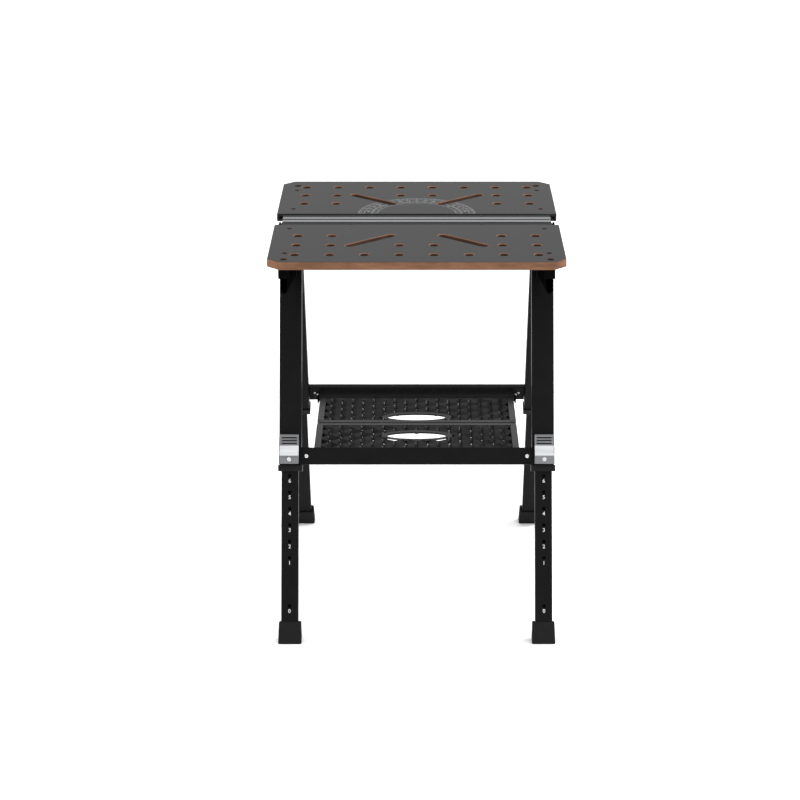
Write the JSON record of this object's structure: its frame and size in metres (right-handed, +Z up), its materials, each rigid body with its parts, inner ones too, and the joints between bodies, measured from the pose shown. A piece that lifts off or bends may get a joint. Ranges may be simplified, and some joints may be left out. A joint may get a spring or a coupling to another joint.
{
  "type": "welding table",
  "caption": "Folding height-adjustable welding table: split perforated top with a centre T-track, A-frame telescoping legs and a mesh shelf.",
  "frame": {"origin": "on the floor, midway between the four feet, with the legs fully extended", "axes": "+Z up, +X along the T-track to the user's right, +Y from the user to the rear"},
  "size_m": [0.64, 0.728, 0.89],
  "materials": {
    "top_panel": "film-faced fibreboard, satin dark grey film",
    "rail": "extruded and anodised, satin",
    "black_steel": "fine-textured black powder coat",
    "mesh_steel": "black powder coat on expanded metal",
    "latch_steel": "bright zinc-plated",
    "collar_plastic": "moulded black nylon",
    "foot_rubber": "moulded black rubber"
  },
  "bodies": {
    "apex": {"centre_beam": "black_steel", "t_track": "rail", "apex_bracket_left": "black_steel", "apex_bracket_right": "black_steel", "hinge_pin_front_left": "latch_steel", "hinge_pin_front_right": "latch_steel", "hinge_pin_rear_left": "latch_steel", "hinge_pin_rear_right": "latch_steel", "leg_pin_front_left": "latch_steel", "leg_pin_front_right": "latch_steel", "leg_pin_rear_left": "latch_steel", "leg_pin_rear_right": "latch_steel"},
    "top_front": {"top_panel_front": "top_panel", "top_arm_front_left": "black_steel", "top_arm_front_right": "black_steel"},
    "legs_front": {"cross_bar_front": "black_steel", "upper_leg_front_left": "black_steel", "upper_leg_front_right": "black_steel", "guide_collar_front_left": "collar_plastic", "guide_collar_front_right": "collar_plastic", "latch_seat_front_left": "black_steel", "latch_seat_front_right": "black_steel"},
    "props_front": {"top_prop_front_left": "black_steel", "top_prop_front_right": "black_steel"},
    "shelf_front": {"shelf_frame_front": "mesh_steel", "shelf_sheet_front": "mesh_steel"},
    "lower_leg_front_left": {"lower_leg_front_left": "black_steel", "rubber_foot_front_left": "foot_rubber"},
    "rocker_front_left": {"latch_rocker_front_left": "latch_steel"},
    "lower_leg_front_right": {"lower_leg_front_right": "black_steel", "rubber_foot_front_right": "foot_rubber"},
    "rocker_front_right": {"latch_rocker_front_right": "latch_steel"},
    "top_rear": {"top_panel_rear": "top_panel", "top_arm_rear_left": "black_steel", "top_arm_rear_right": "black_steel"},
    "legs_rear": {"cross_bar_rear": "black_steel", "upper_leg_rear_left": "black_steel", "upper_leg_rear_right": "black_steel", "guide_collar_rear_left": "collar_plastic", "guide_collar_rear_right": "collar_plastic", "latch_seat_rear_left": "black_steel", "latch_seat_rear_right": "black_steel"},
    "props_rear": {"top_prop_rear_left": "black_steel", "top_prop_rear_right": "black_steel"},
    "shelf_rear": {"shelf_frame_rear": "mesh_steel", "shelf_sheet_rear": "mesh_steel"},
    "lower_leg_rear_left": {"lower_leg_rear_left": "black_steel", "rubber_foot_rear_left": "foot_rubber"},
    "rocker_rear_left": {"latch_rocker_rear_left": "latch_steel"},
    "lower_leg_rear_right": {"lower_leg_rear_right": "black_steel", "rubber_foot_rear_right": "foot_rubber"},
    "rocker_rear_right": {"latch_rocker_rear_right": "latch_steel"}
  },
  "joints": [
    {"name": "legs_front_fold", "type": "hinge", "parent": "apex", "child": "legs_front", "pos_m": [0, -0.0212, 0.798], "axis": [1, 0, 0], "range_deg": [0, 22.2]},
    {"name": "top_front_fold", "type": "hinge", "parent": "apex", "child": "top_front", "pos_m": [0, -0.052, 0.861], "axis": [1, 0, 0], "range_deg": [0, 78.5]},
    {"name": "props_front_fold", "type": "hinge", "parent": "legs_front", "child": "props_front", "pos_m": [0, -0.05829, 0.77857], "axis": [1, 0, 0], "range_deg": [0, 77.2]},
    {"name": "shelf_front_fold", "type": "hinge", "parent": "legs_front", "child": "shelf_front", "pos_m": [0, -0.172, 0.3915], "axis": [1, 0, 0], "range_deg": [0, 68]},
    {"name": "leg_slide_front_left", "type": "slide", "parent": "legs_front", "child": "lower_leg_front_left", "axis": [0, 0.3778, 0.9259], "range_m": [0, 0.33]},
    {"name": "latch_press_front_left", "type": "hinge", "parent": "legs_front", "child": "rocker_front_left", "pos_m": [0, -0.20686, 0.40394], "axis": [-1, 0, 0], "range_deg": [0, 9], "stiffness_Nm_per_rad": 0.8},
    {"name": "leg_slide_front_right", "type": "slide", "parent": "legs_front", "child": "lower_leg_front_right", "axis": [0, 0.3778, 0.9259], "range_m": [0, 0.33]},
    {"name": "latch_press_front_right", "type": "hinge", "parent": "legs_front", "child": "rocker_front_right", "pos_m": [0, -0.20686, 0.40394], "axis": [-1, 0, 0], "range_deg": [0, 9], "stiffness_Nm_per_rad": 0.8},
    {"name": "legs_rear_fold", "type": "hinge", "parent": "apex", "child": "legs_rear", "pos_m": [0, 0.0212, 0.798], "axis": [-1, 0, 0], "range_deg": [0, 22.2]},
    {"name": "top_rear_fold", "type": "hinge", "parent": "apex", "child": "top_rear", "pos_m": [0, 0.052, 0.861], "axis": [-1, 0, 0], "range_deg": [0, 78.5]},
    {"name": "props_rear_fold", "type": "hinge", "parent": "legs_rear", "child": "props_rear", "pos_m": [0, 0.05829, 0.77857], "axis": [-1, 0, 0], "range_deg": [0, 77.2]},
    {"name": "shelf_rear_fold", "type": "hinge", "parent": "legs_rear", "child": "shelf_rear", "pos_m": [0, 0.172, 0.3915], "axis": [1, 0, 0], "range_deg": [0, 112.5]},
    {"name": "leg_slide_rear_left", "type": "slide", "parent": "legs_rear", "child": "lower_leg_rear_left", "axis": [0, -0.3778, 0.9259], "range_m": [0, 0.33]},
    {"name": "latch_press_rear_left", "type": "hinge", "parent": "legs_rear", "child": "rocker_rear_left", "pos_m": [0, 0.20686, 0.40394], "axis": [1, 0, 0], "range_deg": [0, 9], "stiffness_Nm_per_rad": 0.8},
    {"name": "leg_slide_rear_right", "type": "slide", "parent": "legs_rear", "child": "lower_leg_rear_right", "axis": [0, -0.3778, 0.9259], "range_m": [0, 0.33]},
    {"name": "latch_press_rear_right", "type": "hinge", "parent": "legs_rear", "child": "rocker_rear_right", "pos_m": [0, 0.20686, 0.40394], "axis": [1, 0, 0], "range_deg": [0, 9], "stiffness_Nm_per_rad": 0.8}
  ],
  "couplings": [
    {"joint": "legs_rear_fold", "follows": "legs_front_fold", "ratio": 1},
    {"joint": "top_front_fold", "follows": "legs_front_fold", "ratio": 3.5135},
    {"joint": "top_rear_fold", "follows": "legs_front_fold", "ratio": 3.5135},
    {"joint": "props_front_fold", "follows": "legs_front_fold", "ratio": 3.4775},
    {"joint": "props_rear_fold", "follows": "legs_front_fold", "ratio": 3.4775},
    {"joint": "shelf_front_fold", "follows": "legs_front_fold", "ratio": 3.054},
    {"joint": "shelf_rear_fold", "follows": "legs_front_fold", "ratio": 5.054}
  ]
}
